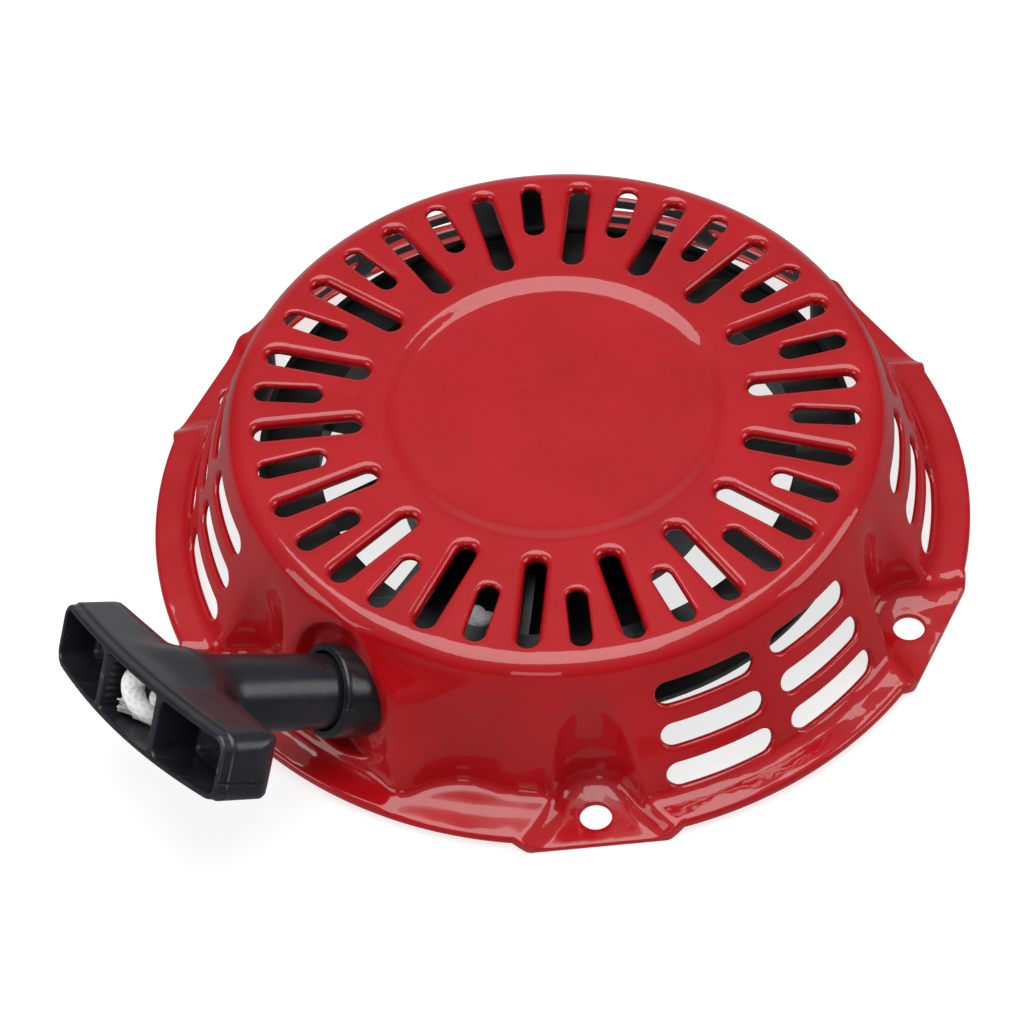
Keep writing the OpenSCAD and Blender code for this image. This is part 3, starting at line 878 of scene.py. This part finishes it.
def smooth_path(points, step):
    """Catmull-Rom curve through points, sampled evenly."""
    pts = np.asarray(points, float)
    pts = np.concatenate([[2 * pts[0] - pts[1]], pts, [2 * pts[-1] - pts[-2]]])
    out = []
    for a, b, c, d in zip(pts, pts[1:], pts[2:], pts[3:]):
        t = np.linspace(0, 1, 40, endpoint=False)[:, None]
        square, cube = 2 * a - 5 * b + 4 * c - d, 3 * b - a - 3 * c + d
        out.append(0.5 * (2 * b + (c - a) * t + square * t ** 2 + cube * t ** 3))
    out = np.concatenate(out + [pts[-2:-1]])
    run = np.concatenate([[0], np.cumsum(np.linalg.norm(np.diff(out, axis=0), axis=1))])
    even = np.arange(0, run[-1], step)
    return np.stack([np.interp(even, run, out[:, k]) for k in range(3)], 1)


def along_grip(s):
    """Point on the rope's axis at a distance out from the pad."""
    return tuple(OUTLET + s * PULL)


def rope_run(material):
    """The rope from the reel through the guide and the grip's stem to its washer."""
    b = Builder()
    points = ROUTE + [along_grip(s) for s in (10, 14, 20, 28, 38, 48, KNOT_FLOOR + 1.5)]
    b.tube(smooth_path(points, 0.55), ROPE_R, 32, 0.1)
    return b.object("rope_run", material)


def frayed_end(b, at, heading, count, length):
    """Loose strands fanned out of the rope's cut end."""
    heading = np.array(heading, float)
    heading /= np.linalg.norm(heading)
    side = np.cross(heading, [0, 0, 1.0])
    side /= np.linalg.norm(side)
    other = np.cross(heading, side)
    for _ in range(count):
        a, r = rng.uniform(0, 2 * math.pi), ROPE_R * 0.85 * math.sqrt(rng.uniform(0.02, 1))
        out = (math.cos(a) * side + math.sin(a) * other)
        long = length * rng.uniform(0.55, 1.0)
        spread, curl = rng.uniform(0.25, 0.75), rng.uniform(-0.5, 0.5)
        t = np.linspace(0, 1, 8)[:, None]
        path = at + r * out + heading * (t * (long + 1.2) - 1.2) + out * (spread * t ** 1.6 * 1.6)
        path = path + np.cross(heading, out) * (curl * t ** 2 * 1.4)
        b.tube(path, 0.42 - 0.16 * t[:, 0], 6)


def grip_knot(material):
    """Overhand knot behind the washer, its last turn bulging and its tail frayed."""
    b = Builder()
    points = [(0, 0, 1.0), (0, 0, 3.2), (1.2, 0.6, 5.4), (3.6, 1.2, 6.6), (4.9, 3.4, 6.0), (3.4, 5.4, 5.6),
              (0.4, 5.9, 6.6), (-3.0, 5.4, 8.2), (-4.9, 3.0, 9.4), (-4.5, 0.2, 9.6), (-2.2, -2.4, 9.0),
              (0.6, -3.8, 7.6), (2.4, -4.9, 5.4), (1.4, -6.0, 3.9), (-1.2, -6.2, 4.2), (-3.4, -5.4, 6.2),
              (-4.8, -5.2, 7.0)]
    path = smooth_path(points, 0.35) + [0, 0, KNOT_FLOOR]
    share = np.linspace(0, 1, len(path))
    bulge, flared = np.exp(-((share - 0.52) / 0.17) ** 2), np.clip((share - 0.9) * 10, 0, 1)
    b.tube(path, ROPE_R * (1 + 0.42 * bulge + 0.25 * flared), 32, 0.07)
    frayed_end(b, path[-1], path[-1] - path[-4], 80, 5.6)
    b.points = [on_grip(p) for p in b.points]
    return b.object("grip_knot", material)


def rope_winding(material):
    """Nearly four turns in two layers in the reel's groove, and the inner end through the rim."""
    b = Builder()
    start, last = math.radians(-75), ANCHOR + 8 * math.pi
    turns = (last - start) / (2 * math.pi)
    t = np.linspace(0, turns, 1500)
    outer, inner = REEL_GROOVE_R + 3 * ROPE_R, REEL_GROOVE_R + ROPE_R + 0.1
    low, high = ROPE_LEVEL - 2.3, ROPE_LEVEL + 2.3
    cross = smooth_step((t % 1 - 0.9) / 0.1)
    turn_r, turn_z = np.array([outer, outer, inner, inner]), np.array([high, low, low, high])
    k = np.minimum(t.astype(int), 3)
    after = np.minimum(k + 1, 3)
    r = turn_r[k] + (turn_r[after] - turn_r[k]) * cross
    z = turn_z[k] + (turn_z[after] - turn_z[k]) * cross
    lead_in = smooth_step(1 - t / 0.05)
    z += (ROPE_LEVEL - z) * lead_in
    r -= 0.5 * lead_in
    fade = smooth_step(1 - (turns - t) / 0.06)
    z += (ROPE_LEVEL - z) * fade
    path = around(r, start + 2 * math.pi * t, z)
    tail = turned(np.array([(69.4, 1.2), (67.0, 0.2), (64.0, 0), (61.0, 0)]), ANCHOR)
    tail = smooth_path([path[-1], *on_plane(tail, np.full(4, ROPE_LEVEL))], 1.2)
    b.tube(np.concatenate([path, tail[1:]]), ROPE_R, 20, 0.08)
    return b.object("rope_winding", material)


def anchor_knot(material):
    """Simple knot that stops the rope's inner end inside the rim."""
    b = Builder()
    t = np.linspace(0, 2 * math.pi * 0.985, 120)
    x = 1.9 * (np.sin(t) + 1.6 * np.sin(2 * t)) * 0.5
    y = 1.9 * (np.cos(t) - 1.6 * np.cos(2 * t)) * 0.5
    z = -1.7 * np.sin(3 * t) * 0.7
    b.tube(on_plane(turned(np.stack([59.0 + z, x], 1), ANCHOR), 23.4 + y), 1.9, 24, 0.15)
    return b.object("anchor_knot", material)


# ---------------------------------------------------------------- materials
class Shader:
    """A material's node tree on one Principled shader, built by short calls. Lengths are in metres."""

    def __init__(self, name, **sockets):
        self.material = bpy.data.materials.new(name)
        self.material.use_nodes = True
        self.tree = self.material.node_tree
        self.shader = self.tree.nodes["Principled BSDF"]
        for key, value in sockets.items():
            self.shader.inputs[key.replace("_", " ")].default_value = value
        self.place = self.node("ShaderNodeTexCoord").outputs["Object"]

    def node(self, kind, inputs=None, **settings):
        made = self.tree.nodes.new(kind)
        for key, value in settings.items():
            setattr(made, key, value)
        for key, value in (inputs or {}).items():
            if isinstance(value, bpy.types.NodeSocket):
                self.tree.links.new(value, made.inputs[key])
            else:
                made.inputs[key].default_value = value
        return made

    def feed(self, **sockets):
        for key, value in sockets.items():
            self.tree.links.new(value, self.shader.inputs[key.replace("_", " ")])

    def noise(self, scale, detail=2.0, rough=0.5, vector=None, distortion=0.0):
        inputs = {"Vector": vector or self.place, "Scale": scale, "Detail": detail, "Roughness": rough,
                  "Distortion": distortion}
        return self.node("ShaderNodeTexNoise", inputs).outputs["Fac"]

    def cells(self, scale):
        """Distance to the nearest of scattered points."""
        return self.node("ShaderNodeTexVoronoi", {"Vector": self.place, "Scale": scale}).outputs["Distance"]

    def stretched(self, *scale):
        """Object coordinates scaled by axis."""
        return self.node("ShaderNodeMapping", {"Vector": self.place, "Scale": scale}).outputs[0]

    def speckle(self, scale, low, high, patch_scale, patch_low, patch_high):
        """Small round specks, only in patches."""
        patch = self.span(self.noise(patch_scale, 0), patch_low, patch_high)
        return self.math("MULTIPLY", self.span(self.cells(scale), low, high), patch)

    def pointiness(self):
        return self.node("ShaderNodeNewGeometry").outputs["Pointiness"]

    def span(self, value, low, high, to_low=0.0, to_high=1.0, smooth=False):
        """value from low..high taken to to_low..to_high, held beyond."""
        inputs = {"Value": value, "From Min": low, "From Max": high, "To Min": to_low, "To Max": to_high}
        kind = "SMOOTHSTEP" if smooth else "LINEAR"
        return self.node("ShaderNodeMapRange", inputs, interpolation_type=kind).outputs["Result"]

    def math(self, operation, a, b=0.0):
        return self.node("ShaderNodeMath", {0: a, 1: b}, operation=operation).outputs[0]

    def dot(self, direction, vector=None):
        inputs = {0: vector or self.place, 1: tuple(direction)}
        return self.node("ShaderNodeVectorMath", inputs, operation="DOT_PRODUCT").outputs["Value"]

    def height(self):
        return self.node("ShaderNodeSeparateXYZ", {0: self.place}).outputs["Z"]

    def mix(self, share, a, b):
        rgba = lambda v: v if isinstance(v, bpy.types.NodeSocket) else (*v, 1.0)
        made = self.node("ShaderNodeMix", {"Factor": share}, data_type="RGBA")
        for key, value in ((6, a), (7, b)):
            value = rgba(value)
            if isinstance(value, bpy.types.NodeSocket):
                self.tree.links.new(value, made.inputs[key])
            else:
                made.inputs[key].default_value = value
        return made.outputs[2]

    def bump(self, value, distance, strength=1.0, under=None):
        inputs = {"Height": value, "Distance": distance, "Strength": strength}
        if under is not None:
            inputs["Normal"] = under
        return self.node("ShaderNodeBump", inputs).outputs["Normal"]


def red_paint():
    """Stoved gloss enamel: deep red under a clear, slightly wavy skin, with specks of dust in it, and
    painted shade where the mesh's attribute says inside: near black, with little clear coat."""
    m = Shader("red_paint", Specular_IOR_Level=0.12, Coat_Weight=1.0, Coat_Roughness=0.035, Coat_IOR=1.5)
    depth = m.noise(38, 3, 0.55)
    base = m.mix(m.span(depth, 0.3, 0.7), (0.37, 0.0016, 0.0040), (0.44, 0.0034, 0.0072))
    thin = m.span(m.pointiness(), 0.52, 0.60)
    base = m.mix(m.math("MULTIPLY", thin, 0.35), base, (0.62, 0.012, 0.018))
    speck = m.speckle(115, 0.028, 0.016, 60, 0.60, 0.64)
    base = m.mix(m.math("MULTIPLY", speck, 0.7), base, (0.75, 0.45, 0.42))
    # Painted shade: the inner face goes near black, with the coat mostly off, where only shade falls.
    inside = m.node("ShaderNodeAttribute", attribute_name="inside").outputs["Fac"]
    base = m.mix(inside, base, (0.006, 0.006, 0.007))
    rough = m.span(m.noise(420, 3, 0.6), 0.3, 0.7, 0.26, 0.38)
    low = m.span(m.height(), 0.030, 0.010, smooth=True)
    wave = m.math("MULTIPLY", m.noise(52, 1.5, 0.4), low)
    normal = m.bump(wave, 0.0016)
    normal = m.bump(m.noise(26, 1, 0.4), 0.0011, under=normal)
    normal = m.bump(m.noise(330, 1, 0.4), 0.000035, under=normal)
    normal = m.bump(speck, 0.00012, under=normal)
    m.feed(Base_Color=base, Roughness=rough, Normal=normal, Coat_Normal=normal,
           Coat_Weight=m.span(inside, 0.0, 1.0, 1.0, 0.1))
    return m.material


PARTING = -3.4


def black_plastic(name, colour, rough, parting=False):
    """Injection-moulded black plastic: a fine spark-eroded grain, faint flow marks, scuffs and dust,
    and the mould's parting line across the ends of the grip's bar."""
    m = Shader(name, Specular_IOR_Level=0.5)
    cloud = m.noise(55, 3, 0.6)
    lighter = tuple(v * 1.55 + 0.004 for v in colour)
    base = m.mix(m.span(cloud, 0.3, 0.75), colour, lighter)
    grain = m.noise(2600, 2, 0.6)
    scuff = m.span(m.noise(1.0, 2, 0.5, m.stretched(60, 900, 420)), 0.66, 0.74)
    speck = m.speckle(260, 0.035, 0.02, 90, 0.56, 0.62)
    base = m.mix(m.math("MULTIPLY", speck, 0.55), base, (0.32, 0.32, 0.33))
    base = m.mix(m.math("MULTIPLY", scuff, 0.18), base, (0.10, 0.10, 0.105))
    worn = m.span(m.pointiness(), 0.53, 0.62)
    base = m.mix(m.math("MULTIPLY", worn, 0.4), base, (0.11, 0.11, 0.118))
    r = m.span(cloud, 0.25, 0.75, rough - 0.06, rough + 0.07)
    r = m.math("SUBTRACT", r, m.math("MULTIPLY", worn, 0.08))
    normal = m.bump(grain, 0.00003)
    normal = m.bump(m.noise(120, 2, 0.5), 0.00016, under=normal)
    normal = m.bump(scuff, 0.00002, under=normal)
    if parting:
        across = m.math("SUBTRACT", m.dot(ACROSS), float(OUTLET @ ACROSS + PARTING) * MM)
        wander = m.math("MULTIPLY", m.math("SUBTRACT", m.noise(160, 3, 0.7), 0.5), 0.0012)
        off = m.math("ABSOLUTE", m.math("ADD", across, wander))
        line = m.span(off, 0.00018, 0.00055, 1.0, 0.0, smooth=True)
        out = m.math("ABSOLUTE", m.math("SUBTRACT", m.dot(BAR), float(OUTLET @ BAR) * MM))
        ends = m.span(out, (BAR_HALF - 1.0) * MM, (BAR_HALF - 0.4) * MM)
        line = m.math("MULTIPLY", line, ends)
        normal = m.bump(line, -0.00045, under=normal)
        base = m.mix(line, base, (0.0015, 0.0015, 0.002))
        r = m.math("ADD", r, m.math("MULTIPLY", line, 0.5))
    m.feed(Base_Color=base, Roughness=r, Normal=normal)
    return m.material


def plated_steel(name, dull, bright, rough, tint=None, lathed=False):
    """Plated or blued steel: cloudy tone, fine scratches, and painted shade that darkens the recesses."""
    m = Shader(name, Metallic=1.0)
    cloud = m.noise(140, 4, 0.6)
    base = m.mix(m.span(cloud, 0.3, 0.7), dull, bright)
    if tint:
        base = m.mix(m.span(m.noise(45, 3, 0.6, distortion=1.2), 0.48, 0.68), base, tint)
    stretch = (70, 70, 2600) if lathed else (2400, 160, 160)
    scratch = m.noise(1.0, 3, 0.65, m.stretched(*stretch))
    # Painted shade: the recesses darken to a third of the dull tone.
    deep = m.span(m.pointiness(), 0.42, 0.5)
    base = m.mix(deep, tuple(0.35 * v for v in dull), base)
    r = m.span(scratch, 0.3, 0.7, rough - 0.09, rough + 0.12)
    normal = m.bump(scratch, 0.000012)
    normal = m.bump(cloud, 0.00003, under=normal)
    m.feed(Base_Color=base, Roughness=r, Normal=normal)
    return m.material


def rope_braid(name, free_run=False):
    """White braided polyester: eight strands each way, each of fine twisted yarn. Its braid follows the
    UVs, or on the stretch that pulls out, the rope's straight axis."""
    m = Shader(name, Sheen_Weight=0.25, Sheen_Roughness=0.5, Specular_IOR_Level=0.3)
    if free_run:
        q = m.node("ShaderNodeVectorMath", {0: m.place, 1: tuple(OUTLET * MM)}, operation="SUBTRACT")
        q = q.outputs["Vector"]
        along = m.math("MULTIPLY", m.dot(PULL, q), 1000.0)
        around = m.math("DIVIDE", m.math("ARCTAN2", m.dot(EY, q), m.dot(EX, q)), 2 * math.pi)
    else:
        uv = m.node("ShaderNodeUVMap", uv_map="braid").outputs["UV"]
        split = m.node("ShaderNodeSeparateXYZ", {0: uv})
        around, along = split.outputs["X"], split.outputs["Y"]
    turn_angle = m.math("MULTIPLY", around, 8 * math.pi)
    lay = m.math("MULTIPLY", along, math.pi / BRAID_PITCH)
    one = m.math("ABSOLUTE", m.math("SINE", m.math("ADD", turn_angle, lay)))
    two = m.math("ABSOLUTE", m.math("SINE", m.math("SUBTRACT", turn_angle, lay)))
    strand = m.math("MAXIMUM", one, two)
    yarn = m.math("ADD", m.math("MULTIPLY", turn_angle, 7.0), m.math("MULTIPLY", lay, 5.0))
    yarn = m.span(m.math("SINE", yarn), -1.0, 1.0)
    fuzz = m.noise(1900, 3, 0.7)
    # Painted shade: the gaps between the strands are darker than the strands.
    base = m.mix(m.span(strand, 0.35, 0.9), (0.76, 0.76, 0.76), (0.89, 0.89, 0.88))
    soiled = m.span(m.noise(160, 3, 0.6), 0.5, 0.75, 0.0, 0.35)
    base = m.mix(soiled, base, (0.62, 0.61, 0.58))
    r = m.span(fuzz, 0.3, 0.7, 0.62, 0.85)
    normal = m.bump(strand, 0.00014)
    normal = m.bump(yarn, 0.00006, under=normal)
    normal = m.bump(fuzz, 0.00010, under=normal)
    m.feed(Base_Color=base, Roughness=r, Normal=normal)
    return m.material


def pale_floor():
    """Plain white floor that also glows a little, so that its shadows stay faint."""
    m = Shader("pale_floor", Roughness=0.9, Specular_IOR_Level=0.1)
    m.shader.inputs["Emission Color"].default_value = (1, 1, 1, 1)
    m.shader.inputs["Emission Strength"].default_value = 0.74
    m.feed(Base_Color=m.mix(m.noise(3, 2), (0.38, 0.38, 0.38), (0.40, 0.40, 0.40)))
    return m.material


# ---------------------------------------------------------------- the object
paint = red_paint()
guide_black = black_plastic("guide_plastic", (0.0065, 0.0066, 0.0085), 0.22)
grip_black = black_plastic("grip_plastic", (0.0095, 0.0093, 0.0125), 0.25, parting=True)
reel_black = black_plastic("reel_plastic", (0.0042, 0.0042, 0.0046), 0.34)
ZINC = (0.46, 0.47, 0.48)
zinc = plated_steel("zinc_steel", ZINC, (0.66, 0.67, 0.69), 0.30)
zinc_turned = plated_steel("zinc_turned", ZINC, (0.68, 0.69, 0.70), 0.26, lathed=True)
spring_blue = plated_steel("spring_steel", (0.13, 0.14, 0.17), (0.26, 0.28, 0.33), 0.28,
                           tint=(0.24, 0.19, 0.13), lathed=True)
pawl_yellow = plated_steel("pawl_steel", (0.48, 0.40, 0.22), (0.66, 0.58, 0.38), 0.32,
                           tint=(0.42, 0.44, 0.34))
braid = rope_braid("rope")
braid_run = rope_braid("rope_free", free_run=True)

shell = housing(paint)
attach(shell, "frame")
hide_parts("housing")

bushing = rope_guide(guide_black)
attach(bushing, "frame")
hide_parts("rope_guide")

handle = grip(grip_black)
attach(handle, "grip")
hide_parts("handle")

run = rope_run(braid_run)
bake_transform(run)
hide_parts("rope_lead", "rope_tail")

for make, body, node in ((grip_knot, "grip", "rope_knot"), (rope_winding, "reel", "rope_coil"),
                         (anchor_knot, "reel", "reel_knot")):
    piece = make(braid)
    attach(piece, body)
    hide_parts(node)

FINISH = {"centre_post": zinc_turned, "guide_retainer": zinc, "hub_washer": zinc, "centre_screw": zinc_turned,
          "friction_spring": spring_blue, "recoil_spring": spring_blue, "reel": reel_black,
          "spring_cover": zinc,
          "ratchet_pin_a": zinc_turned, "ratchet_pin_b": zinc_turned, "ratchet_spring_a": spring_blue,
          "ratchet_spring_b": spring_blue, "ratchet_guide": guide_black, "ratchet_a": pawl_yellow,
          "ratchet_b": pawl_yellow, "handle_washer": zinc}
for name, finish in FINISH.items():
    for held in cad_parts[name].material_slots:
        held.material = finish

# ---------------------------------------------------------------- floor, lights, camera
FLOOR_R, FLOOR_Z, FLOOR_SIDES = 6.0, -0.0003, 64
edge = around(FLOOR_R, np.arange(FLOOR_SIDES) * 2 * math.pi / FLOOR_SIDES, np.full(FLOOR_SIDES, FLOOR_Z))
ground = bpy.data.meshes.new("floor")
ground.from_pydata(edge.tolist(), [], [tuple(range(FLOOR_SIDES))])
ground.materials.append(pale_floor())
floor = bpy.data.objects.new("floor", ground)
bpy.context.scene.collection.objects.link(floor)
floor.visible_glossy = False


def soft_light(name, at, to, size, power):
    """Rectangular softbox at a point, turned towards another."""
    data = bpy.data.lights.new(name, "AREA")
    data.shape = "RECTANGLE"
    data.size, data.size_y = size
    data.energy = power
    light = bpy.data.objects.new(name, data)
    light.location = at
    light.rotation_euler = (Vector(to) - Vector(at)).to_track_quat("-Z", "Y").to_euler()
    bpy.context.scene.collection.objects.link(light)


soft_light("overhead", (-0.1, 0.0, 1.5), (0, 0, 0), (1.7, 1.2), 23)
soft_light("left_box", (-1.4, -0.35, 0.55), (0, 0, 0.03), (0.8, 0.7), 4)
soft_light("right_box", (1.4, -0.25, 0.55), (0, 0, 0.03), (0.8, 0.7), 5)
soft_light("front_box", (-0.35, -1.5, 0.35), (0, 0, 0.03), (0.35, 0.4), 0.9)

# Dim room: brighter overhead, at table level and behind
world = bpy.data.worlds.new("studio")
world.use_nodes = True
sky = world.node_tree
toward = sky.nodes.new("ShaderNodeSeparateXYZ")
sky.links.new(sky.nodes.new("ShaderNodeTexCoord").outputs["Generated"], toward.inputs[0])
strength = None
for axis, start, stop, least, most in (("Z", -0.06, -0.10, 0.0, 0.16), ("Y", 0.78, 0.93, 0.0, 0.32),
                                       ("Z", 0.05, 0.8, 0.04, 0.36)):
    part = sky.nodes.new("ShaderNodeMapRange")
    for key, value in (("From Min", start), ("From Max", stop), ("To Min", least), ("To Max", most)):
        part.inputs[key].default_value = value
    sky.links.new(toward.outputs[axis], part.inputs["Value"])
    part = part.outputs["Result"]
    if strength is not None:
        both = sky.nodes.new("ShaderNodeMath")
        sky.links.new(strength, both.inputs[0])
        sky.links.new(part, both.inputs[1])
        part = both.outputs[0]
    strength = part
sky.links.new(strength, sky.nodes["Background"].inputs["Strength"])
sky.nodes["Background"].inputs["Color"].default_value = (0.95, 0.96, 1.0, 1)
bpy.context.scene.world = world
bpy.context.scene.view_settings.view_transform = "Standard"

CAMERA_AT, CAMERA_TO = Vector((-26.5, -660.7, 808.4)) * MM, Vector((-14.51, -36.45, 47.0)) * MM
CAMERA_ROLL, CAMERA_LENS = math.radians(-4.43), 130.63
look = (CAMERA_TO - CAMERA_AT).normalized()
right = look.cross(Vector((0, 0, 1))).normalized()
upright = right.cross(look)
roll_cos, roll_sin = math.cos(CAMERA_ROLL), math.sin(CAMERA_ROLL)
across, up = right * roll_cos + upright * roll_sin, upright * roll_cos - right * roll_sin
axes = Matrix((across, up, -look)).transposed()
camera = bpy.data.objects.new("camera", bpy.data.cameras.new("camera"))
camera.matrix_world = Matrix.Translation(CAMERA_AT) @ axes.to_4x4()
camera.data.lens, camera.data.sensor_width = CAMERA_LENS, 36.0
camera.data.clip_start, camera.data.clip_end = 0.05, 30.0
bpy.context.scene.collection.objects.link(camera)
bpy.context.scene.camera = camera
